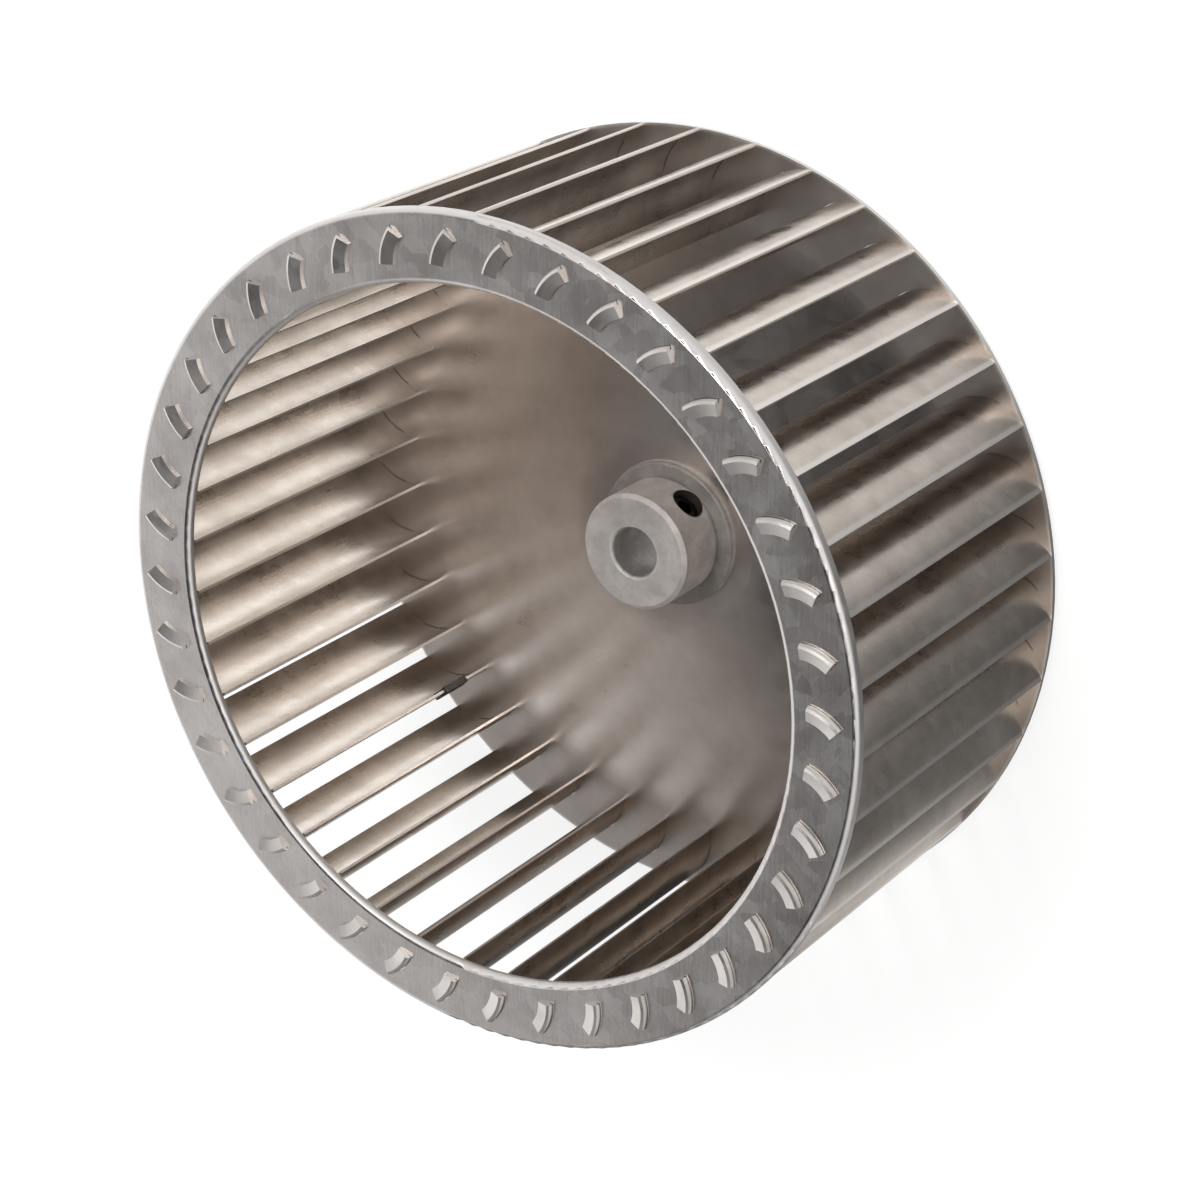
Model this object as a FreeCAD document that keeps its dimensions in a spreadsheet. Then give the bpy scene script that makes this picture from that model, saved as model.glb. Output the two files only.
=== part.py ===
import FreeCAD, Part
import math
import os
import Sketcher
from FreeCAD import Placement, Rotation, Vector

# Forward-curved blower wheel of galvanised steel: separate rolled blades stand between a dished back
# disc and an inlet ring, tabs at both ends pass through slots and are clinched over, and a turned hub
# with a set screw is staked into the disc. Millimetres, +Z along the shaft with the inlet up, origin on
# the shaft axis in the plane of the rear tabs' folds.

SIZES = {
    # inlet ring, a flat annulus with both edges turned back
    "outer_radius": 101.6,
    "ring_width": 16.9,
    "wheel_width": 92.9,
    "ring_sheet": 1.0,
    "ring_bend": 1.4,
    "rim_depth": 2.6,
    "throat_depth": 2.0,
    # blades, each rolled to one arc that leans clockwise from the radius, seen from the inlet
    "blade_count": 40,
    "blade_sheet": 0.7,
    "heel_lean": -8.2,
    "tip_lean": 74.3,
    "blade_clearance": 0.2,
    "first_blade": -3.65,
    # tabs at both ends of each blade, bent over on the front of the ring and the back of the disc
    "tab_length": 8.9,
    "tab_offset": 1.4,
    "flap_length": 3.0,
    "flap_edge": 0.7,
    "fold_height": 1.5,
    "fold_radius": 0.9,
    "slot_clearance": 0.12,
    # back disc, flat under the blades and dished towards the inlet round the hub
    "disc_sheet": 1.2,
    "dish_inset": 2.7,
    "dish_slope": 7.6,
    "dish_bend": 40.0,
    "seat_radius": 24.0,
    # hub, turned in one piece
    "hub_radius": 15.0,
    "hub_reach": 17.1,
    "hub_chamfer": 1.0,
    "bore_radius": 6.35,
    "bore_chamfer": 0.6,
    "flange_radius": 18.8,
    "flange_height": 2.0,
    "flange_round": 0.8,
    "spigot_radius": 12.0,
    "spigot_clearance": 0.1,
    "stake_radius": 13.6,
    "stake_height": 1.3,
    # set screw with a hexagon socket
    "screw_radius": 3.95,
    "screw_length": 6.35,
    "screw_height": 6.5,
    "screw_angle": 52.6,
    "thread_clearance": 0.08,
    "tip_gap": 0.3,
    "socket_flats": 3.97,
    "socket_depth": 3.2,
    "point_chamfer": 0.7,
    # spring clip pushed on one blade's inner edge to balance the wheel
    "clip_sheet": 0.5,
    "clip_leg": 4.4,
    "clip_length": 9.0,
    "clip_clearance": 0.08,
    "clip_lift": 9.1,
    "clip_blade": 25,
}

# Levels along the shaft, as expressions over the sheet
DISC_BACK = "sizes.fold_height"
DISC_FRONT = f"({DISC_BACK} + sizes.disc_sheet)"
RING_FRONT = f"({DISC_BACK} + sizes.wheel_width)"
RING_BACK = f"({RING_FRONT} - sizes.ring_sheet)"

# Radii of the opening and of the blades' two edges
HALF_SHEET = "(sizes.blade_sheet / 2)"
OPENING = "(sizes.outer_radius - sizes.ring_width)"
TIP = f"(sizes.outer_radius - {HALF_SHEET})"
HEEL = f"({OPENING} + sizes.blade_clearance)"
NECK_TIP = f"(sizes.outer_radius - sizes.ring_sheet - 2 * sizes.blade_clearance - {HALF_SHEET})"
NECK_HEEL = f"({OPENING} + sizes.ring_sheet + 2 * sizes.blade_clearance)"
ARC = f"(({TIP}^2 - {HEEL}^2) / (2 * ({TIP} * sin(sizes.tip_lean) - {HEEL} * sin(sizes.heel_lean))))"
CENTRES = f"sqrt({TIP}^2 + {ARC}^2 - 2 * {TIP} * {ARC} * sin(sizes.tip_lean))"
SLOT_HALF = f"({HALF_SHEET} + sizes.slot_clearance)"

# Dish of the back disc: a cone between two rolled bends, from the blades' heels in to the hub's seat
DISH_EDGE = f"({OPENING} - sizes.dish_inset)"
BEND_REACH = "(sizes.dish_bend * sin(sizes.dish_slope))"
BEND_RISE = "(sizes.dish_bend * (1 - cos(sizes.dish_slope)))"
DISH_SPAN = f"({DISH_EDGE} - sizes.seat_radius - 2 * {BEND_REACH})"
DISH_RISE = f"({DISH_SPAN} * tan(sizes.dish_slope) + 2 * {BEND_RISE})"
SEAT_BACK = f"({DISC_BACK} + {DISH_RISE})"
SEAT_FRONT = f"({SEAT_BACK} + sizes.disc_sheet)"


def arc_angle(radius):
    """Angle round a blade's arc centre, from the wheel's radius, of the point at that wheel radius."""
    return f"acos(({radius}^2 - {CENTRES}^2 - {ARC}^2) / (2 * {CENTRES} * {ARC}))"


def swept(length):
    """Angle that a length along the blade's arc covers."""
    return f"({length} / {ARC} * 180deg / pi)"


TIP_ANGLE = arc_angle(TIP)
HEEL_ANGLE = arc_angle(HEEL)
TAB_ANGLE = f"(({TIP_ANGLE} + {HEEL_ANGLE}) / 2 + {swept('sizes.tab_offset')})"


def make_sheet(doc):
    sheet = doc.addObject("Spreadsheet::Sheet", "sizes")
    for row, (alias, value) in enumerate(SIZES.items(), start=1):
        sheet.set(f"A{row}", alias)
        sheet.set(f"B{row}", str(value))
        sheet.setAlias(f"B{row}", alias)
    doc.recompute()
    return sheet


def number(sheet, expression):
    value = sheet.evalExpression(expression)
    return float(getattr(value, "Value", value))


def origin_plane(body, role):
    return next(plane for plane in body.Origin.OriginFeatures if plane.Role == role)


def new_sketch(body, name, role, lift=None):
    sketch = body.newObject("Sketcher::SketchObject", name)
    sketch.AttachmentSupport = (origin_plane(body, role), [""])
    sketch.MapMode = "FlatFace"
    if lift:
        sketch.setExpression("AttachmentOffset.Base.z", lift)
    return sketch


def bind(sketch, sheet, kind, *where, to):
    """Add a dimension and bind it to an expression over the sheet."""
    value = number(sheet, to)
    if kind == "Angle":
        value = math.radians(value)
    index = sketch.addConstraint(Sketcher.Constraint(kind, *where, value))
    sketch.setExpression(f"Constraints[{index}]", to)


def place_point(sketch, sheet, geometry, end, x, y):
    """Dimension a point from the sketch's origin; a coordinate of 0 lies on the axis."""
    if x == "0":
        sketch.addConstraint(Sketcher.Constraint("PointOnObject", geometry, end, -2))
    else:
        bind(sketch, sheet, "DistanceX", -1, 1, geometry, end, to=x)
    if y == "0":
        sketch.addConstraint(Sketcher.Constraint("PointOnObject", geometry, end, -1))
    else:
        bind(sketch, sheet, "DistanceY", -1, 1, geometry, end, to=y)


def draw_outline(sketch, sheet, corners):
    """Closed outline through corners (x, y). A corner given as (x, y, radius, turn) starts an arc to the
    next one, which runs anticlockwise where turn is 1 and clockwise where it is -1."""
    places = [Vector(number(sheet, corner[0]), number(sheet, corner[1]), 0) for corner in corners]
    for index, corner in enumerate(corners):
        start = places[index]
        end = places[(index + 1) % len(places)]
        if len(corner) == 2:
            sketch.addGeometry(Part.LineSegment(start, end), False)
            continue
        turn = corner[3]
        radius = number(sheet, corner[2])
        chord = end - start
        rise = math.sqrt(max(radius ** 2 - (chord.Length / 2) ** 2, 0.0))
        side = Vector(-chord.y, chord.x, 0).normalize()
        centre = (start + end) * 0.5 + side * (rise * turn)
        first, last = (start, end) if turn > 0 else (end, start)
        angles = [math.atan2(point.y - centre.y, point.x - centre.x) for point in (first, last)]
        circle = Part.Circle(centre, Vector(0, 0, 1), radius)
        sketch.addGeometry(Part.ArcOfCircle(circle, angles[0], angles[1]), False)
    leaving = [2 if len(corner) == 4 and corner[3] < 0 else 1 for corner in corners]
    for index, corner in enumerate(corners):
        before = (index - 1) % len(corners)
        arriving = 3 - leaving[before]
        sketch.addConstraint(Sketcher.Constraint("Coincident", before, arriving, index, leaving[index]))
        place_point(sketch, sheet, index, leaving[index], corner[0], corner[1])
        if len(corner) == 4:
            bind(sketch, sheet, "Radius", index, to=corner[2])


def draw_strip(sketch, sheet, centre, outer, inner, start, end):
    """Strip of sheet bent round a centre on the X axis, seen on edge, between two angles."""
    middle = Vector(0 if centre is None else number(sheet, centre), 0, 0)
    angles = [math.radians(number(sheet, angle)) for angle in (start, end)]
    for radius in (outer, inner):
        circle = Part.Circle(middle, Vector(0, 0, 1), number(sheet, radius))
        sketch.addGeometry(Part.ArcOfCircle(circle, angles[0], angles[1]), False)
    for angle in angles:
        way = Vector(math.cos(angle), math.sin(angle), 0)
        ends = [middle + way * number(sheet, radius) for radius in (inner, outer)]
        sketch.addGeometry(Part.LineSegment(ends[0], ends[1]), False)
    sketch.addConstraint(Sketcher.Constraint("Coincident", 0, 3, 1, 3))
    if centre is None:
        sketch.addConstraint(Sketcher.Constraint("Coincident", 0, 3, -1, 1))
    else:
        place_point(sketch, sheet, 0, 3, centre, "0")
    bind(sketch, sheet, "Radius", 0, to=outer)
    bind(sketch, sheet, "Radius", 1, to=inner)
    for line, end_of_arc, angle in ((2, 1, start), (3, 2, end)):
        sketch.addConstraint(Sketcher.Constraint("Coincident", line, 1, 1, end_of_arc))
        sketch.addConstraint(Sketcher.Constraint("Coincident", line, 2, 0, end_of_arc))
        sketch.addConstraint(Sketcher.Constraint("PointOnObject", 0, 3, line))
        bind(sketch, sheet, "Angle", line, to=angle)


def new_body(doc, name):
    body = doc.addObject("PartDesign::Body", name)
    body.Label = name
    return body


def revolve(body, name, sketch, angle=None):
    """Turn a sketch about its own vertical axis, right round or by an angle about its plane."""
    feature = body.newObject("PartDesign::Revolution", name)
    feature.Profile = sketch
    feature.ReferenceAxis = (sketch, ["V_Axis"])
    feature.Angle = 360.0
    if angle:
        feature.Midplane = True
        feature.setExpression("Angle", angle)
    return feature


def pad(body, name, sketch, length):
    feature = body.newObject("PartDesign::Pad", name)
    feature.Profile = sketch
    feature.setExpression("Length", length)
    return feature


def pocket(body, name, sketch, length=None, backwards=False):
    """Cut a sketch away from the solid, through all of it or to a depth; the volume must fall."""
    before = body.Shape.Volume
    feature = body.newObject("PartDesign::Pocket", name)
    feature.Profile = sketch
    feature.Reversed = backwards
    if length:
        feature.setExpression("Length", length)
    else:
        feature.Type = "ThroughAll"
        feature.Midplane = True
    body.Document.recompute()
    if not body.Shape.Volume < before:
        raise RuntimeError(f"{body.Label}: {name} cuts nothing")
    return feature


def repeat_slots(body, slot):
    """Copy the cut for the first blade round the wheel's axis, one for each blade."""
    pattern = body.newObject("PartDesign::PolarPattern", "slots")
    pattern.Originals = [slot]
    pattern.Axis = (next(axis for axis in body.Origin.OriginFeatures if axis.Role == "Z_Axis"), [""])
    pattern.Angle = 360.0
    pattern.setExpression("Occurrences", "sizes.blade_count")
    body.Tip = pattern
    return pattern


def wheel_turn(sheet, blade=0):
    """Turn about the shaft that brings a sub-part's first slot to a blade's place."""
    pitch = 360.0 / number(sheet, "sizes.blade_count")
    angle = number(sheet, "sizes.first_blade") + blade * pitch
    return Placement(Vector(0, 0, 0), Rotation(Vector(0, 0, 1), angle))


def blade_place(sheet, blade):
    """Frame of one blade: origin at its arc centre, X towards the middle of its tabs."""
    out = Placement(Vector(number(sheet, CENTRES), 0, 0), Rotation())
    tab = Placement(Vector(0, 0, 0), Rotation(Vector(0, 0, 1), number(sheet, TAB_ANGLE)))
    return wheel_turn(sheet, blade).multiply(out).multiply(tab)


def cut_tab_slots(body, sheet):
    """Cut a curved slot for each blade's tab through the ring or the disc."""
    cut = new_sketch(body, "tab_slot", "XY_Plane")
    half = f"({swept('sizes.tab_length')} / 2 + {swept('sizes.slot_clearance')})"
    draw_strip(cut, sheet, CENTRES, f"({ARC} + {SLOT_HALF})", f"({ARC} - {SLOT_HALF})",
               f"({TAB_ANGLE} - {half})", f"({TAB_ANGLE} + {half})")
    slot = pocket(body, "first_slot", cut)
    repeat_slots(body, slot)
    body.Placement = wheel_turn(sheet)


def make_inlet_ring(doc, sheet):
    body = new_body(doc, "inlet_ring")
    bend = f"({RING_FRONT} - sizes.ring_bend)"
    rim_inside = "(sizes.outer_radius - sizes.ring_sheet)"
    throat_inside = f"({OPENING} + sizes.ring_sheet)"
    rim_end = f"({RING_FRONT} - sizes.rim_depth)"
    throat_end = f"({RING_FRONT} - sizes.throat_depth)"
    section = new_sketch(body, "ring_section", "XZ_Plane")
    draw_outline(section, sheet, [
        (f"({OPENING} + sizes.ring_bend)", RING_FRONT),
        ("(sizes.outer_radius - sizes.ring_bend)", RING_FRONT, "sizes.ring_bend", -1),
        ("sizes.outer_radius", bend),
        ("sizes.outer_radius", rim_end),
        (rim_inside, rim_end),
        (rim_inside, RING_BACK),
        (throat_inside, RING_BACK),
        (throat_inside, throat_end),
        (OPENING, throat_end),
        (OPENING, bend, "sizes.ring_bend", -1),
    ])
    revolve(body, "ring", section)
    doc.recompute()
    cut_tab_slots(body, sheet)
    return body


def make_back_disc(doc, sheet):
    body = new_body(doc, "back_disc")
    hole = "(sizes.spigot_radius + sizes.spigot_clearance)"
    inner_bend = f"(sizes.seat_radius + {BEND_REACH})"
    outer_bend = f"({DISH_EDGE} - {BEND_REACH})"
    section = new_sketch(body, "disc_section", "XZ_Plane")
    draw_outline(section, sheet, [
        (hole, SEAT_BACK),
        ("sizes.seat_radius", SEAT_BACK, "sizes.dish_bend", -1),
        (inner_bend, f"({SEAT_BACK} - {BEND_RISE})"),
        (outer_bend, f"({DISC_BACK} + {BEND_RISE})", "sizes.dish_bend", 1),
        (DISH_EDGE, DISC_BACK),
        ("sizes.outer_radius", DISC_BACK),
        ("sizes.outer_radius", DISC_FRONT),
        (DISH_EDGE, DISC_FRONT, "sizes.dish_bend", -1),
        (outer_bend, f"({DISC_FRONT} + {BEND_RISE})"),
        (inner_bend, f"({SEAT_FRONT} - {BEND_RISE})", "sizes.dish_bend", 1),
        ("sizes.seat_radius", SEAT_FRONT),
        (hole, SEAT_FRONT),
    ])
    revolve(body, "disc", section)
    doc.recompute()
    cut_tab_slots(body, sheet)
    return body


def add_strip(body, sheet, name, radii, start, end):
    """Rolled strip between two wheel radii, from one level along the shaft to another."""
    edge = new_sketch(body, f"{name}_edge", "XY_Plane", start)
    draw_strip(edge, sheet, None, f"({ARC} + {HALF_SHEET})", f"({ARC} - {HALF_SHEET})",
               f"({arc_angle(radii[0])} - {TAB_ANGLE})", f"({arc_angle(radii[1])} - {TAB_ANGLE})")
    pad(body, name, edge, f"({end} - {start})")
    body.Document.recompute()


def add_tab(body, sheet, name, inside, outside, way):
    """Tab through a sheet between two levels, bent over to lie as a flap on the outside. The bend is
    eased by two flats where it shows, over the ring, and is left sharp under the disc."""
    concave = f"({ARC} - {HALF_SHEET})"
    convex = f"({ARC} + {HALF_SHEET})"
    rise, fall = ("+", "-") if way > 0 else ("-", "+")
    flap = f"({concave} - sizes.flap_length)"
    fold_top = f"({outside} {rise} sizes.fold_height)"
    corner = "(sizes.fold_radius * (1 - cos(45)))"
    bend = [
        (convex, f"({fold_top} {fall} sizes.fold_radius)"),
        (f"({convex} - {corner})", f"({fold_top} {fall} {corner})"),
        (f"({convex} - sizes.fold_radius)", fold_top),
    ]
    tab = new_sketch(body, f"{name}_section", "XZ_Plane")
    draw_outline(tab, sheet, [
        (concave, inside),
        (convex, inside),
        *(bend if way > 0 else [(convex, fold_top)]),
        (flap, f"({outside} {rise} sizes.flap_edge)"),
        (flap, outside),
        (concave, outside),
    ])
    revolve(body, name, tab, swept("sizes.tab_length"))


def make_blade(doc, sheet, blade):
    body = new_body(doc, f"blade_{blade + 1:02d}")
    notch = f"({RING_FRONT} - sizes.rim_depth - sizes.blade_clearance)"
    add_strip(body, sheet, "rolled_strip", (TIP, HEEL), DISC_FRONT, notch)
    add_strip(body, sheet, "notched_end", (NECK_TIP, NECK_HEEL), notch, RING_BACK)
    add_tab(body, sheet, "front_tab", RING_BACK, RING_FRONT, 1)
    add_tab(body, sheet, "rear_tab", DISC_FRONT, DISC_BACK, -1)
    body.Placement = blade_place(sheet, blade)
    return body


def make_hub(doc, sheet):
    body = new_body(doc, "hub")
    face = f"({SEAT_FRONT} + sizes.hub_reach)"
    flange_top = f"({SEAT_FRONT} + sizes.flange_height)"
    stake_end = f"({SEAT_BACK} - sizes.stake_height)"
    bore_mouth = "(sizes.bore_radius + sizes.bore_chamfer)"
    section = new_sketch(body, "hub_section", "XZ_Plane")
    draw_outline(section, sheet, [
        ("sizes.bore_radius", f"({stake_end} + sizes.bore_chamfer)"),
        (bore_mouth, stake_end),
        ("sizes.stake_radius", stake_end),
        ("sizes.stake_radius", SEAT_BACK),
        ("sizes.spigot_radius", SEAT_BACK),
        ("sizes.spigot_radius", SEAT_FRONT),
        ("sizes.flange_radius", SEAT_FRONT),
        ("sizes.flange_radius", f"({flange_top} - sizes.flange_round)", "sizes.flange_round", 1),
        ("(sizes.flange_radius - sizes.flange_round)", flange_top),
        ("sizes.hub_radius", flange_top),
        ("sizes.hub_radius", f"({face} - sizes.hub_chamfer)"),
        ("(sizes.hub_radius - sizes.hub_chamfer)", face),
        (bore_mouth, face),
        ("sizes.bore_radius", f"({face} - sizes.bore_chamfer)"),
    ])
    revolve(body, "turned_hub", section)
    doc.recompute()
    drill = new_sketch(body, "screw_hole", "YZ_Plane")
    drill.addGeometry(Part.Circle(Vector(0, 1, 0), Vector(0, 0, 1), 1), False)
    place_point(drill, sheet, 0, 3, "0", f"({SEAT_FRONT} + sizes.screw_height)")
    bind(drill, sheet, "Radius", 0, to="(sizes.screw_radius + sizes.thread_clearance)")
    pocket(body, "tapped_hole", drill, "(sizes.hub_radius + sizes.hub_chamfer)", backwards=True)
    body.Placement = Placement(Vector(0, 0, 0), Rotation(Vector(0, 0, 1), number(sheet, "sizes.screw_angle")))
    return body


def make_set_screw(doc, sheet):
    body = new_body(doc, "set_screw")
    side = new_sketch(body, "screw_section", "XZ_Plane")
    back = "(sizes.screw_length - sizes.point_chamfer)"
    draw_outline(side, sheet, [
        ("0", "0"),
        ("(sizes.screw_radius - sizes.point_chamfer)", "0"),
        ("sizes.screw_radius", "sizes.point_chamfer"),
        ("sizes.screw_radius", back),
        ("(sizes.screw_radius - sizes.point_chamfer)", "sizes.screw_length"),
        ("0", "sizes.screw_length"),
    ])
    revolve(body, "screw", side)
    doc.recompute()
    socket = new_sketch(body, "hexagon", "XY_Plane", "sizes.screw_length")
    flats = "(sizes.socket_flats / 2)"
    across = f"({flats} / cos(30))"
    half = f"({across} / 2)"
    draw_outline(socket, sheet, [
        (across, "0"),
        (half, flats),
        (f"(-{half})", flats),
        (f"(-{across})", "0"),
        (f"(-{half})", f"(-{flats})"),
        (half, f"(-{flats})"),
    ])
    pocket(body, "socket", socket, "sizes.socket_depth")
    height = number(sheet, f"{SEAT_FRONT} + sizes.screw_height")
    start = number(sheet, "sizes.bore_radius + sizes.tip_gap")
    radial = Placement(Vector(start, 0, height), Rotation(Vector(0, 1, 0), 90))
    angle = number(sheet, "sizes.screw_angle")
    body.Placement = Placement(Vector(0, 0, 0), Rotation(Vector(0, 0, 1), angle)).multiply(radial)
    return body


def make_balance_clip(doc, sheet):
    body = new_body(doc, "balance_clip")
    heel = f"({HEEL_ANGLE} - {TAB_ANGLE})"
    inside = f"({HALF_SHEET} + sizes.clip_clearance)"
    outside = f"({inside} + sizes.clip_sheet)"
    legs = f"({heel} - {swept('sizes.clip_leg')})"
    lift = f"({DISC_FRONT} + sizes.clip_lift)"
    block = new_sketch(body, "clip_outline", "XY_Plane", lift)
    draw_strip(block, sheet, None, f"({ARC} + {outside})", f"({ARC} - {outside})", legs,
               f"({heel} + {swept('(sizes.clip_clearance + sizes.clip_sheet)')})")
    pad(body, "clip_block", block, "sizes.clip_length")
    doc.recompute()
    mouth = new_sketch(body, "clip_mouth", "XY_Plane", lift)
    draw_strip(mouth, sheet, None, f"({ARC} + {inside})", f"({ARC} - {inside})",
               f"({legs} - {swept('sizes.clip_sheet')})", f"({heel} + {swept('sizes.clip_clearance')})")
    pocket(body, "mouth", mouth)
    body.Placement = blade_place(sheet, int(number(sheet, "sizes.clip_blade")) - 1)
    return body


def check(doc, parts):
    for item in doc.Objects:
        if any(flag in ("Invalid", "Error") for flag in item.State):
            raise RuntimeError(f"{item.Label} failed: {item.State}")
    for part in parts:
        if part.Shape.isNull() or not part.Shape.isValid() or len(part.Shape.Solids) != 1:
            raise RuntimeError(f"{part.Label}: not one valid solid")


def main():
    os.makedirs("parts", exist_ok=True)
    doc = FreeCAD.newDocument("blower_wheel")
    sheet = make_sheet(doc)
    parts = [make_inlet_ring(doc, sheet), make_back_disc(doc, sheet)]
    parts += [make_blade(doc, sheet, blade) for blade in range(int(number(sheet, "sizes.blade_count")))]
    parts += [make_hub(doc, sheet), make_set_screw(doc, sheet), make_balance_clip(doc, sheet)]
    doc.recompute()
    check(doc, parts)
    for part in parts:
        part.Shape.exportStep(f"parts/{part.Label}.step")
        print(f"{part.Label}: {part.Shape.Volume:.1f} mm3")


main()
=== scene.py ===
import math
import bpy
from mathutils import Matrix, Vector

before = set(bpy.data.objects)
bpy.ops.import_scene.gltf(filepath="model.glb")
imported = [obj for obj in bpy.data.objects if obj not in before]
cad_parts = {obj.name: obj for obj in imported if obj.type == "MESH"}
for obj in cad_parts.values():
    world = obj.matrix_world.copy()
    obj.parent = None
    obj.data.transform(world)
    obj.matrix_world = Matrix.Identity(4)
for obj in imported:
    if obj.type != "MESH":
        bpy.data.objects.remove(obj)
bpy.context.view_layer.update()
print("frame loaded")

# the photograph looks into the inlet, about 40 degrees off the shaft, with the camera turned on its side
photo = {
    "position": (0.3767, 0.2788, 0.5971),
    "view": (-0.5162, -0.3922, -0.7614),
    "up": (-0.2201, 0.9199, -0.3246),
    "lens": 90.2, "sensor": 36.0,
    "clipNear": 0.01, "clipFar": 50.0,
}


def makeCamera():
    data = bpy.data.cameras.new("photoCamera")
    data.sensor_width = photo["sensor"]
    data.lens = photo["lens"]
    data.clip_start = photo["clipNear"]
    data.clip_end = photo["clipFar"]
    camera = bpy.data.objects.new("photoCamera", data)
    bpy.context.scene.collection.objects.link(camera)
    back = -Vector(photo["view"]).normalized()
    up = Vector(photo["up"])
    up = (up - back * up.dot(back)).normalized()
    side = up.cross(back)
    turn = Matrix((side, up, back)).transposed().to_4x4()
    camera.matrix_world = Matrix.Translation(photo["position"]) @ turn
    bpy.context.scene.camera = camera
    print("camera placed")


# short helpers for node trees
def addNode(tree, kind, operation=None, **values):
    node = tree.nodes.new(kind)
    if operation:
        node.operation = operation
    for name, value in values.items():
        put(tree, node.inputs[name.replace("_", " ")], value)
    return node


def put(tree, socket, value):
    if isinstance(value, bpy.types.NodeSocket):
        tree.links.new(value, socket)
    else:
        socket.default_value = value


def maths(tree, operation, first, second=0.0, third=None):
    node = addNode(tree, "ShaderNodeMath", operation)
    put(tree, node.inputs[0], first)
    put(tree, node.inputs[1], second)
    if third is not None:
        put(tree, node.inputs[2], third)
    return node.outputs[0]


def vectorMaths(tree, operation, *values):
    node = addNode(tree, "ShaderNodeVectorMath", operation)
    for socket, value in zip(node.inputs, values):
        put(tree, socket, value)
    return node.outputs


def blend(tree, factor, first, second):
    node = tree.nodes.new("ShaderNodeMix")
    node.data_type = "RGBA"
    put(tree, node.inputs[0], factor)
    put(tree, node.inputs[6], first)
    put(tree, node.inputs[7], second)
    return node.outputs[2]


def remap(tree, value, low, high, toLow, toHigh, smooth=False):
    node = tree.nodes.new("ShaderNodeMapRange")
    if smooth:
        node.interpolation_type = "SMOOTHSTEP"
    names = ("Value", "From Min", "From Max", "To Min", "To Max")
    for name, entry in zip(names, (value, low, high, toLow, toHigh)):
        put(tree, node.inputs[name], entry)
    return node.outputs["Result"]


def startGroup(name, inputs, outputs):
    group = bpy.data.node_groups.new(name, "ShaderNodeTree")
    for label, kind, value in inputs:
        socket = group.interface.new_socket(name=label, in_out="INPUT", socket_type=kind)
        if value is not None:
            socket.default_value = value
    for label, kind in outputs:
        group.interface.new_socket(name=label, in_out="OUTPUT", socket_type=kind)
    return group, group.nodes.new("NodeGroupInput").outputs, group.nodes.new("NodeGroupOutput").inputs


def useGroup(tree, group, **values):
    node = tree.nodes.new("ShaderNodeGroup")
    node.node_tree = group
    for name, value in values.items():
        put(tree, node.inputs[name], value)
    return node.outputs


# paper, room and lamps; the rounds are brightness in 16 steps from -X round by -Y, +X and +Y back to -X
studio = {
    "floorRadius": 6.0, "floorSides": 96,
    "floorColor": (0.42, 0.42, 0.42, 1.0), "floorGlow": 0.70,
    # painted reflection: the paper's glow as only the metal sees it, brighter or darker round the shaft
    "paperReflectionRound": (1.0, 0.95, 0.80, 0.30, 0.02, 0.02, 0.46, 0.12, 0.09,
                   0.16, 0.48, 0.60, 0.68, 0.78, 0.86, 0.95, 1.0),
    "paperReflectionStrength": 1.7,
    # the room from the horizon to the walls, and the ceiling, by the height of the direction
    "horizonRound": (0.90, 0.92, 0.92, 0.20, 0.30, 0.70, 0.90, 0.90, 0.90,
                     0.90, 0.90, 0.90, 0.90, 0.90, 0.90, 0.90, 0.90),
    "wallRound": (0.36, 0.30, 0.17, 0.02, 0.02, 0.40, 0.70, 0.90, 1.0,
                  1.0, 1.0, 0.75, 0.56, 0.65, 0.74, 0.55, 0.36),
    "ceiling": (0.03, 0.03, 0.03, 1.0),
    "wallFoot": (0.60, 0.73), "wallTop": (0.74, 0.90),
    "roomStrength": 1.3,
    "black": (0.0, 0.0, 0.0, 1.0), "white": (1.0, 1.0, 1.0, 1.0),
    "aim": (0.0, 0.0, 0.05),
    "softboxes": [
        {"name": "keyLight", "at": (1.35, 0.35, 1.75), "size": (1.0, 1.0), "power": 5.0,
         "color": (1.0, 0.975, 0.94)},
        {"name": "topLight", "at": (-0.13, 1.03, 1.94), "size": (0.7, 0.7), "power": 12.0,
         "color": (1.0, 0.99, 0.98)},
    ],
}


# a brightness that changes with the direction round the shaft
def readRound(tree, place, values):
    parts = addNode(tree, "ShaderNodeSeparateXYZ", Vector=place).outputs
    angle = maths(tree, "ARCTAN2", parts["Y"], parts["X"])
    ramp = addNode(tree, "ShaderNodeValToRGB", Fac=maths(tree, "MULTIPLY_ADD", angle, 0.5 / math.pi, 0.5))
    stops = ramp.color_ramp.elements
    while len(stops) < len(values):
        stops.new(0.5)
    for count, (stop, value) in enumerate(zip(stops, values)):
        stop.position = count / (len(values) - 1)
        stop.color = (value, value, value, 1.0)
    return ramp.outputs["Color"]
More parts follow.
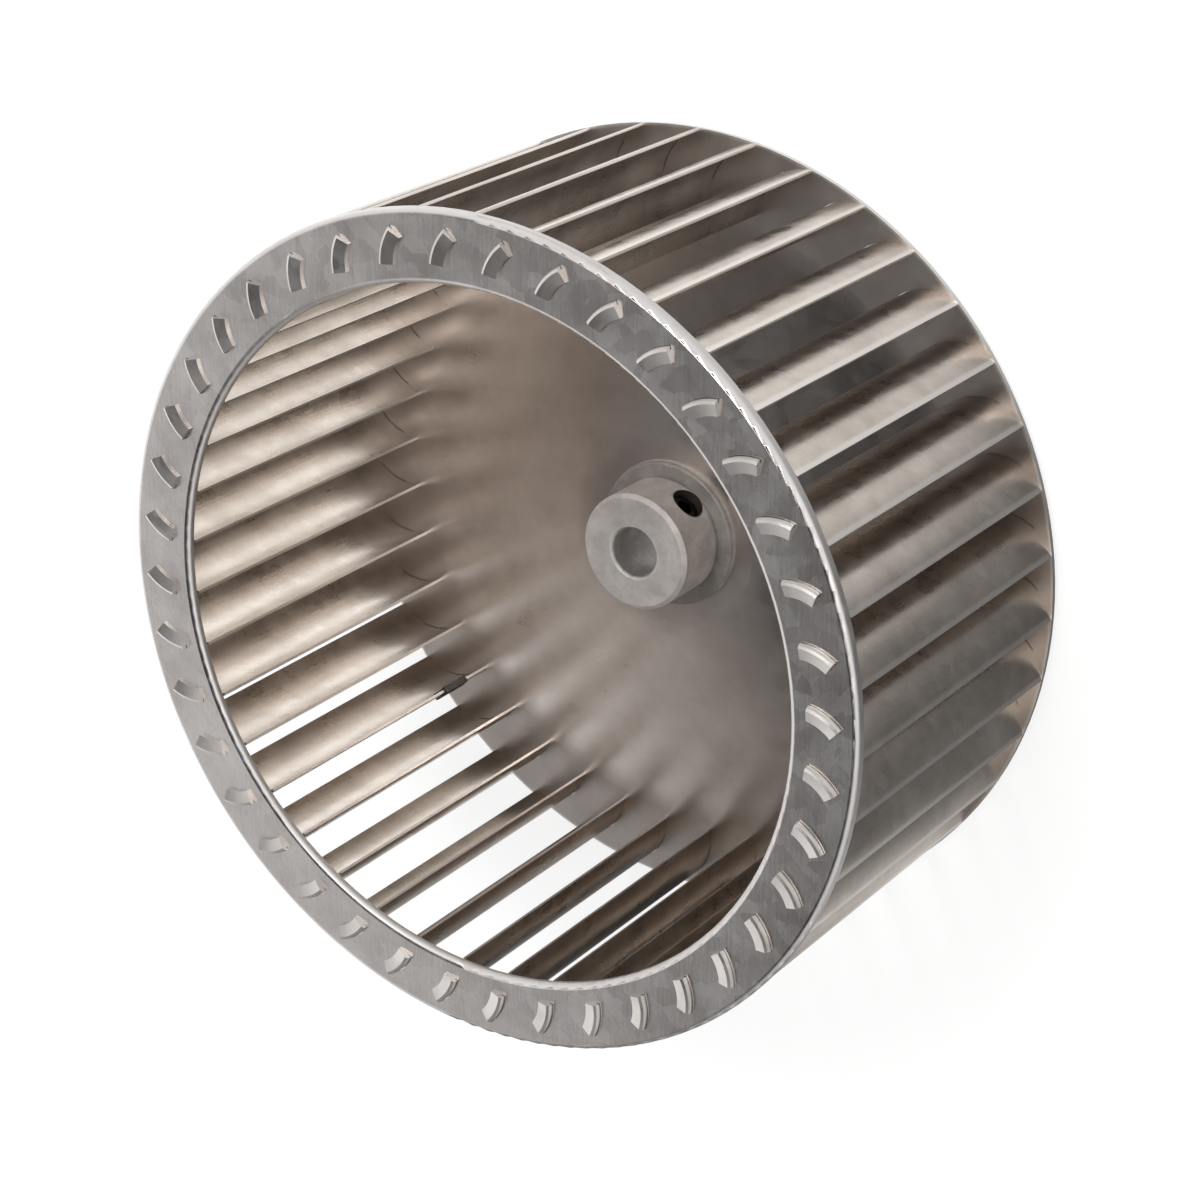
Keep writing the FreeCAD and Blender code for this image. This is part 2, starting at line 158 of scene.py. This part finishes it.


# the camera sees plain white paper; the metal mirrors a painted reflection, paper that glows brighter or darker round
# the shaft
def makeFloor():
    bpy.ops.object.select_all(action="DESELECT")
    bpy.ops.mesh.primitive_circle_add(vertices=studio["floorSides"], radius=studio["floorRadius"], fill_type="NGON")
    floor = bpy.context.active_object
    floor.name = "studioFloor"
    material = bpy.data.materials.new("floorPaper")
    material.use_nodes = True
    tree = material.node_tree
    tree.nodes.clear()
    rays = tree.nodes.new("ShaderNodeLightPath").outputs
    place = tree.nodes.new("ShaderNodeTexCoord").outputs["Object"]
    shade = blend(tree, rays["Is Glossy Ray"], studio["floorColor"], studio["black"])
    paper = addNode(tree, "ShaderNodeBsdfDiffuse", Color=shade)
    # painted reflection: a glow seen only in the metal, changing round the shaft
    paintedReflection = maths(tree, "MULTIPLY", readRound(tree, place, studio["paperReflectionRound"]), studio["paperReflectionStrength"])
    seen = maths(tree, "MAXIMUM", rays["Is Camera Ray"], rays["Is Transmission Ray"])
    direct = maths(tree, "MULTIPLY", seen, studio["floorGlow"])
    glow = addNode(tree, "ShaderNodeEmission",
                   Strength=maths(tree, "MULTIPLY_ADD", rays["Is Glossy Ray"], paintedReflection, direct))
    both = tree.nodes.new("ShaderNodeAddShader")
    out = tree.nodes.new("ShaderNodeOutputMaterial")
    tree.links.new(paper.outputs[0], both.inputs[0])
    tree.links.new(glow.outputs[0], both.inputs[1])
    tree.links.new(both.outputs[0], out.inputs["Surface"])
    floor.data.materials.append(material)


# the camera sees white behind the wheel, and the metal mirrors the room
def makeRoom():
    world = bpy.data.worlds.new("studioRoom")
    world.use_nodes = True
    tree = world.node_tree
    background = tree.nodes["Background"]
    place = tree.nodes.new("ShaderNodeTexCoord").outputs["Generated"]
    height = addNode(tree, "ShaderNodeSeparateXYZ", Vector=place).outputs["Z"]
    walls = blend(tree, remap(tree, height, *studio["wallFoot"], 0.0, 1.0),
                  readRound(tree, place, studio["horizonRound"]), readRound(tree, place, studio["wallRound"]))
    room = blend(tree, remap(tree, height, *studio["wallTop"], 0.0, 1.0), walls, studio["ceiling"])
    rays = tree.nodes.new("ShaderNodeLightPath").outputs
    seen = maths(tree, "MAXIMUM", rays["Is Camera Ray"], rays["Is Transmission Ray"])
    put(tree, background.inputs["Color"], blend(tree, seen, room, studio["white"]))
    put(tree, background.inputs["Strength"],
        maths(tree, "MULTIPLY_ADD", seen, 1.0 - studio["roomStrength"], studio["roomStrength"]))
    bpy.context.scene.world = world


def makeSoftboxes():
    for box in studio["softboxes"]:
        data = bpy.data.lights.new(box["name"], "AREA")
        data.shape = "RECTANGLE"
        data.size, data.size_y = box["size"]
        data.energy = box["power"]
        data.color = box["color"]
        lamp = bpy.data.objects.new(box["name"], data)
        bpy.context.scene.collection.objects.link(lamp)
        aim = Vector(studio["aim"]) - Vector(box["at"])
        lamp.matrix_world = Matrix.Translation(box["at"]) @ aim.to_track_quat("-Z", "Y").to_matrix().to_4x4()


zincPattern = {
    "clouds": {"Scale": 55.0, "Detail": 5.0, "Roughness": 0.6},
    "grain": {"Scale": 900.0, "Detail": 2.0, "Roughness": 0.5},
    "bends": {"Scale": 300.0, "Detail": 1.0}, "bendReach": (0.0016, 0.0016, 0.0016),
    "crystals": {"Scale": 260.0},
    "rolled": {"Scale": 1400.0, "Detail": 3.0, "Roughness": 0.7},
    "middle": 0.5, "cloudSpan": (0.32, 0.68), "roughSpan": (0.2, 0.8),
    "roughLines": 0.5, "roughCrystals": 0.3, "roughClouds": 0.7,
    "grainRelief": 0.25, "cloudRelief": 1.2,
}


# zinc on rolled sheet: cloudy tone, faint spangle and rolling streaks, with the roughness and height to match
def makeZincGroup():
    group, given, result = startGroup("zincSheet", [
        ("Vector", "NodeSocketVector", None), ("Light", "NodeSocketColor", (0.6, 0.6, 0.6, 1.0)),
        ("Dark", "NodeSocketColor", (0.4, 0.4, 0.4, 1.0)), ("Spangle", "NodeSocketFloat", 0.2),
        ("Streaks", "NodeSocketFloat", 0.3), ("Stretch", "NodeSocketVector", (1.0, 1.0, 0.05)),
        ("Smooth", "NodeSocketFloat", 0.25), ("Coarse", "NodeSocketFloat", 0.4),
    ], [("Color", "NodeSocketColor"), ("Roughness", "NodeSocketFloat"), ("Height", "NodeSocketFloat")])
    place = given["Vector"]
    clouds = addNode(group, "ShaderNodeTexNoise", Vector=place, **zincPattern["clouds"]).outputs[0]
    grain = addNode(group, "ShaderNodeTexNoise", Vector=place, **zincPattern["grain"]).outputs[0]
    bends = addNode(group, "ShaderNodeTexNoise", Vector=place, **zincPattern["bends"]).outputs["Color"]
    warped = vectorMaths(group, "MULTIPLY_ADD", bends, zincPattern["bendReach"], place)[0]
    crystals = addNode(group, "ShaderNodeTexVoronoi", Vector=warped, **zincPattern["crystals"])
    tone = addNode(group, "ShaderNodeSeparateColor", Color=crystals.outputs["Color"]).outputs["Red"]
    stretched = vectorMaths(group, "MULTIPLY", place, given["Stretch"])[0]
    rolled = addNode(group, "ShaderNodeTexNoise", Vector=stretched, **zincPattern["rolled"]).outputs[0]
    cloudy = remap(group, clouds, *zincPattern["cloudSpan"], 0.0, 1.0)
    spangled = maths(group, "MULTIPLY_ADD", maths(group, "SUBTRACT", tone, zincPattern["middle"]),
                     given["Spangle"], cloudy)
    lined = maths(group, "SUBTRACT", rolled, zincPattern["middle"])
    shade = maths(group, "MULTIPLY_ADD", lined, given["Streaks"], spangled)
    kept = maths(group, "MINIMUM", maths(group, "MAXIMUM", shade, 0.0), 1.0)
    put(group, result["Color"], blend(group, kept, given["Dark"], given["Light"]))
    rough = maths(group, "MULTIPLY", clouds, zincPattern["roughClouds"])
    rough = maths(group, "MULTIPLY_ADD", tone, zincPattern["roughCrystals"], rough)
    rough = maths(group, "MULTIPLY_ADD", lined, zincPattern["roughLines"], rough)
    put(group, result["Roughness"],
        remap(group, rough, *zincPattern["roughSpan"], given["Smooth"], given["Coarse"]))
    relief = maths(group, "MULTIPLY_ADD", grain, zincPattern["grainRelief"],
                   maths(group, "MULTIPLY", lined, given["Streaks"]))
    put(group, result["Height"], maths(group, "MULTIPLY_ADD", clouds, zincPattern["cloudRelief"], relief))
    return group


edgePattern = {"chips": {"Detail": 4.0, "Roughness": 0.65}, "middle": 0.5, "breakup": 0.6, "fade": (0.35, 1.0)}


# a band beside an edge: full at the edge, broken up by noise, gone beyond the width
def makeEdgeGroup():
    group, given, result = startGroup("edgeBand", [
        ("Vector", "NodeSocketVector", None), ("Distance", "NodeSocketFloat", 1.0),
        ("Width", "NodeSocketFloat", 0.001), ("Scale", "NodeSocketFloat", 260.0),
    ], [("Mask", "NodeSocketFloat")])
    chips = addNode(group, "ShaderNodeTexNoise", Vector=given["Vector"], Scale=given["Scale"], **edgePattern["chips"])
    swing = maths(group, "MULTIPLY_ADD", maths(group, "SUBTRACT", chips.outputs[0], edgePattern["middle"]),
                  edgePattern["breakup"], 1.0)
    reach = maths(group, "MULTIPLY", given["Width"], swing)
    share = maths(group, "DIVIDE", given["Distance"], reach)
    put(group, result["Mask"], remap(group, share, *edgePattern["fade"], 1.0, 0.0, True))
    return group


dirtAndShadePattern = {
    "patches": {"Detail": 6.0, "Roughness": 0.7}, "span": (0.35, 0.7), "nearShare": 0.75, "patchShare": 0.45,
}


# random dirt patches plus painted shade in low places, under parts and at joints, as a mask to lay over the metal
def makeDirtAndShadeGroup():
    group, given, result = startGroup("dirtAndShadeFilm", [
        ("Vector", "NodeSocketVector", None), ("Near", "NodeSocketFloat", 0.0),
        ("Amount", "NodeSocketFloat", 0.5), ("Scale", "NodeSocketFloat", 120.0),
    ], [("Mask", "NodeSocketFloat")])
    patches = addNode(group, "ShaderNodeTexNoise", Vector=given["Vector"], Scale=given["Scale"],
                      **dirtAndShadePattern["patches"])
    worn = remap(group, patches.outputs[0], *dirtAndShadePattern["span"], 0.0, 1.0, True)
    spread = maths(group, "MULTIPLY_ADD", given["Near"], dirtAndShadePattern["nearShare"],
                   maths(group, "MULTIPLY", worn, dirtAndShadePattern["patchShare"]))
    put(group, result["Mask"], maths(group, "MULTIPLY", maths(group, "MINIMUM", spread, 1.0), given["Amount"]))
    return group


def startMaterial(name):
    material = bpy.data.materials.new(name)
    material.use_nodes = True
    tree = material.node_tree
    shader = tree.nodes["Principled BSDF"]
    shader.inputs["Metallic"].default_value = 1.0
    place = tree.nodes.new("ShaderNodeTexCoord").outputs["Object"]
    return material, tree, shader, place


# distance from the shaft and height over the floor, in metres
def readPlace(tree, place):
    parts = addNode(tree, "ShaderNodeSeparateXYZ", Vector=place).outputs
    flat = addNode(tree, "ShaderNodeCombineXYZ", X=parts["X"], Y=parts["Y"]).outputs[0]
    return vectorMaths(tree, "LENGTH", flat)["Value"], parts["Z"]


def layZinc(tree, place, look):
    return useGroup(tree, zincSheet, Vector=place, Light=look["light"], Dark=look["dark"], Spangle=look["spangle"],
                    Streaks=look["streaks"], Stretch=look["stretch"], Smooth=look["smooth"], Coarse=look["coarse"])


def layDirtAndShade(tree, place, near, look):
    return useGroup(tree, dirtAndShadeFilm, Vector=place, Near=near, Amount=look["dirtAndShade"], Scale=look["patches"])["Mask"]


def addBump(tree, shader, height, look):
    bump = addNode(tree, "ShaderNodeBump", Strength=look["bump"], Distance=look["depth"], Height=height)
    put(tree, shader.inputs["Normal"], bump.outputs["Normal"])


# worn edges over the metal, dirt and painted shade over both, and the roughness and bump that go with them
def finishMetal(tree, shader, zinc, height, bright, mask, dirtAndShade, look):
    worn = blend(tree, mask, zinc["Color"], bright)
    put(tree, shader.inputs["Base Color"], blend(tree, dirtAndShade, worn, look["dirtAndShadeColor"]))
    scuffed = maths(tree, "MULTIPLY_ADD", mask, look["scuff"], zinc["Roughness"])
    put(tree, shader.inputs["Roughness"], maths(tree, "MULTIPLY_ADD", dirtAndShade, look["film"], scuffed))
    addBump(tree, shader, height, look)


ring = {
    "outerRadius": 0.1016, "openingRadius": 0.0847, "face": 0.0944,
    "light": (0.69, 0.66, 0.645, 1.0), "dark": (0.54, 0.505, 0.49, 1.0),
    "edge": (0.62, 0.60, 0.59, 1.0), "dirtAndShadeColor": (0.20, 0.17, 0.15, 1.0),
    "spangle": 0.35, "streaks": 0.3, "stretch": (1.0, 0.06, 1.0), "smooth": 0.18, "coarse": 0.32,
    "edgeWidth": 0.0011, "scuff": 0.18, "seatDepth": (0.0006, 0.0020),
    "dirtAndShade": 0.15, "patches": 90.0, "film": 0.22, "bump": 0.28, "depth": 0.00012,
}


def makeRingSheet():
    material, tree, shader, place = startMaterial("ringSheet")
    radius, height = readPlace(tree, place)
    zinc = layZinc(tree, place, ring)
    outside = maths(tree, "SUBTRACT", ring["outerRadius"], radius)
    inside = maths(tree, "SUBTRACT", radius, ring["openingRadius"])
    nearest = maths(tree, "ABSOLUTE", maths(tree, "MINIMUM", outside, inside))
    edge = useGroup(tree, edgeBand, Vector=place, Distance=nearest, Width=ring["edgeWidth"])["Mask"]
    # painted shade: darker below the ring's face, on its rim, slots and underside, with random dirt patches
    seat = remap(tree, maths(tree, "SUBTRACT", ring["face"], height), *ring["seatDepth"], 0.0, 1.0)
    dirtAndShade = layDirtAndShade(tree, place, seat, ring)
    finishMetal(tree, shader, zinc, zinc["Height"], ring["edge"], edge, dirtAndShade, ring)
    return material


disc = {
    "outerRadius": 0.1016, "bladeSpan": (0.074, 0.092), "hubSpan": (0.0188, 0.026),
    "light": (0.64, 0.585, 0.55, 1.0), "dark": (0.54, 0.485, 0.45, 1.0),
    "edge": (0.78, 0.76, 0.73, 1.0), "dirtAndShadeColor": (0.17, 0.135, 0.11, 1.0),
    "spangle": 0.3, "streaks": 0.35, "stretch": (0.06, 1.0, 1.0), "smooth": 0.26, "coarse": 0.36,
    "edgeWidth": 0.0009, "scuff": 0.05,
    "dirtAndShade": 0.14, "patches": 70.0, "film": 0.22, "bump": 0.22, "depth": 0.00012,
}


def makeDiscSheet():
    material, tree, shader, place = startMaterial("discSheet")
    radius = readPlace(tree, place)[0]
    zinc = layZinc(tree, place, disc)
    rim = maths(tree, "ABSOLUTE", maths(tree, "SUBTRACT", disc["outerRadius"], radius))
    edge = useGroup(tree, edgeBand, Vector=place, Distance=rim, Width=disc["edgeWidth"])["Mask"]
    # painted shade: darker under the blades and round the hub's foot, with random dirt patches
    underBlades = remap(tree, radius, *disc["bladeSpan"], 0.0, 1.0, True)
    roundHub = remap(tree, radius, *disc["hubSpan"], 1.0, 0.0, True)
    dirtAndShade = layDirtAndShade(tree, place, maths(tree, "MAXIMUM", underBlades, roundHub), disc)
    finishMetal(tree, shader, zinc, zinc["Height"], disc["edge"], edge, dirtAndShade, disc)
    return material


blade = {
    "tipRadius": 0.1016, "heelRadius": 0.0847, "tabSpan": (0.0941, 0.0951), "tabShare": 0.85,
    "rootSpan": (0.0027, 0.020),
    "light": (0.72, 0.655, 0.59, 1.0), "dark": (0.57, 0.51, 0.455, 1.0),
    "edge": (0.76, 0.72, 0.68, 1.0), "tab": (0.66, 0.64, 0.625, 1.0), "dirtAndShadeColor": (0.14, 0.10, 0.075, 1.0),
    "spangle": 0.3, "streaks": 0.45, "stretch": (1.0, 1.0, 0.045), "smooth": 0.22, "coarse": 0.36,
    "edgeWidth": 0.0006, "scuff": 0.06,
    "dirtAndShade": 0.42, "patches": 80.0, "film": 0.22, "bump": 0.3, "depth": 0.00012,
}


def makeBladeSheet():
    material, tree, shader, place = startMaterial("bladeSheet")
    radius, height = readPlace(tree, place)
    zinc = layZinc(tree, place, blade)
    tip = maths(tree, "SUBTRACT", blade["tipRadius"], radius)
    heel = maths(tree, "SUBTRACT", radius, blade["heelRadius"])
    nearest = maths(tree, "ABSOLUTE", maths(tree, "MINIMUM", tip, heel))
    edge = useGroup(tree, edgeBand, Vector=place, Distance=nearest, Width=blade["edgeWidth"])["Mask"]
    tab = remap(tree, height, *blade["tabSpan"], 0.0, blade["tabShare"], True)
    # painted shade: darker towards the blade roots at the disc, fading out 20 mm up, with random dirt patches
    root = remap(tree, height, *blade["rootSpan"], 1.0, 0.0, True)
    dirtAndShade = maths(tree, "MULTIPLY", layDirtAndShade(tree, place, root, blade), maths(tree, "SUBTRACT", 1.0, edge))
    bright = blend(tree, tab, blade["edge"], blade["tab"])
    finishMetal(tree, shader, zinc, zinc["Height"], bright, maths(tree, "MAXIMUM", edge, tab), dirtAndShade, blade)
    return material


hub = {
    "face": 0.0268, "hubRadius": 0.0150, "boreRadius": 0.00635, "flangeTop": 0.01173,
    "light": (0.93, 0.89, 0.86, 1.0), "dark": (0.80, 0.76, 0.73, 1.0),
    "edge": (0.94, 0.92, 0.90, 1.0), "dirtAndShadeColor": (0.07, 0.055, 0.045, 1.0),
    "spangle": 0.1, "streaks": 0.15, "stretch": (1.0, 1.0, 1.0), "smooth": 0.55, "coarse": 0.74,
    "groove": 0.00042, "wobble": {"Scale": 180.0, "Detail": 2.0}, "wobbleReach": 2.2, "grooveRelief": 0.12,
    "edgeWidth": 0.0011, "edgeChips": 420.0, "scuff": 0.0,
    "footSpan": (0.0002, 0.0016), "boreSpan": (0.00645, 0.00685),
    "dirtAndShade": 0.55, "patches": 150.0, "film": 0.15, "bump": 0.3, "depth": 0.00010,
    "screwWay": (0.6074, 0.7944, 0.0), "acrossScrew": (-0.7944, 0.6074, 0.0), "screwHeight": 0.01623,
    "holeShadeSpan": (0.00413, 0.00443), "holeShadeStart": (0.004445, 0.00635), "holeShade": 0.96,
}


def makeHubSteel():
    material, tree, shader, place = startMaterial("hubSteel")
    radius, height = readPlace(tree, place)
    zinc = layZinc(tree, place, hub)
    # fine rings left by the lathe, on the face and round the side
    outward = maths(tree, "ADD", radius, height)
    inward = maths(tree, "SUBTRACT", height, radius)
    wobble = addNode(tree, "ShaderNodeTexNoise", Vector=place, **hub["wobble"]).outputs[0]
    turns = maths(tree, "DIVIDE", outward, hub["groove"] / (2 * math.pi))
    rings = maths(tree, "SINE", maths(tree, "MULTIPLY_ADD", wobble, hub["wobbleReach"], turns))
    faceCorner = maths(tree, "ABSOLUTE", maths(tree, "SUBTRACT", outward, hub["hubRadius"] + hub["face"]))
    boreCorner = maths(tree, "ABSOLUTE", maths(tree, "SUBTRACT", inward, hub["face"] - hub["boreRadius"]))
    edge = useGroup(tree, edgeBand, Vector=place, Distance=maths(tree, "MINIMUM", faceCorner, boreCorner),
                    Width=hub["edgeWidth"], Scale=hub["edgeChips"])["Mask"]
    # painted shade: darker round the hub's foot at the flange and inside the bore, with random dirt patches
    low = maths(tree, "ABSOLUTE", maths(tree, "SUBTRACT", height, hub["flangeTop"]))
    foot = remap(tree, low, *hub["footSpan"], 1.0, 0.0, True)
    bore = remap(tree, radius, *hub["boreSpan"], 1.0, 0.0)
    dirtAndShade = layDirtAndShade(tree, place, maths(tree, "MAXIMUM", foot, bore), hub)
    # painted shade: the inside of the set screw's hole coloured near black
    along = vectorMaths(tree, "DOT_PRODUCT", place, hub["screwWay"])["Value"]
    across = vectorMaths(tree, "DOT_PRODUCT", place, hub["acrossScrew"])["Value"]
    rise = maths(tree, "SUBTRACT", height, hub["screwHeight"])
    offset = maths(tree, "SQRT", maths(tree, "MULTIPLY_ADD", across, across, maths(tree, "MULTIPLY", rise, rise)))
    inside = remap(tree, offset, *hub["holeShadeSpan"], 1.0, 0.0)
    nearSide = remap(tree, along, *hub["holeShadeStart"], 0.0, 1.0)
    holeShade = maths(tree, "MULTIPLY", maths(tree, "MULTIPLY", inside, nearSide), hub["holeShade"])
    relief = maths(tree, "MULTIPLY_ADD", rings, hub["grooveRelief"], zinc["Height"])
    finishMetal(tree, shader, zinc, relief, hub["edge"], edge, maths(tree, "MAXIMUM", dirtAndShade, holeShade), hub)
    return material


darkSteel = {
    "spangle": 0.15, "streaks": 0.5, "stretch": (1.0, 1.0, 0.1), "smooth": 0.28, "coarse": 0.5,
    "rubs": {"Scale": 700.0, "Detail": 5.0, "Roughness": 0.7}, "rubSpan": (0.58, 0.72), "rubShare": 0.8,
    "rubScuff": -0.1, "bump": 0.3, "depth": 0.00008,
    "screwSteel": {"light": (0.05, 0.05, 0.053, 1.0), "dark": (0.02, 0.02, 0.022, 1.0),
                   "edge": (0.14, 0.135, 0.13, 1.0)},
    "clipSteel": {"light": (0.09, 0.085, 0.08, 1.0), "dark": (0.035, 0.033, 0.03, 1.0),
                  "edge": (0.20, 0.19, 0.18, 1.0)},
}


# black oxide on the set screw and the spring clip, rubbed bright here and there
def makeDarkSteel(name):
    material, tree, shader, place = startMaterial(name)
    look = {**darkSteel, **darkSteel[name]}
    zinc = layZinc(tree, place, look)
    rubs = addNode(tree, "ShaderNodeTexNoise", Vector=place, **look["rubs"]).outputs[0]
    mask = remap(tree, rubs, *look["rubSpan"], 0.0, look["rubShare"], True)
    put(tree, shader.inputs["Base Color"], blend(tree, mask, zinc["Color"], look["edge"]))
    put(tree, shader.inputs["Roughness"], maths(tree, "MULTIPLY_ADD", mask, look["rubScuff"], zinc["Roughness"]))
    addBump(tree, shader, zinc["Height"], look)
    return material


def dress(node, material):
    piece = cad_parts[node]
    piece.data.materials.clear()
    piece.data.materials.append(material)


makeCamera()
makeFloor()
makeRoom()
makeSoftboxes()
print("studio ready")

zincSheet = makeZincGroup()
edgeBand = makeEdgeGroup()
dirtAndShadeFilm = makeDirtAndShadeGroup()
bladeSheet = makeBladeSheet()
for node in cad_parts:
    if node.startswith("blade_"):
        dress(node, bladeSheet)
dress("inlet_ring", makeRingSheet())
dress("back_disc", makeDiscSheet())
dress("hub", makeHubSteel())
dress("set_screw", makeDarkSteel("screwSteel"))
dress("balance_clip", makeDarkSteel("clipSteel"))
print("materials on")

bpy.context.scene.view_settings.view_transform = "Standard"
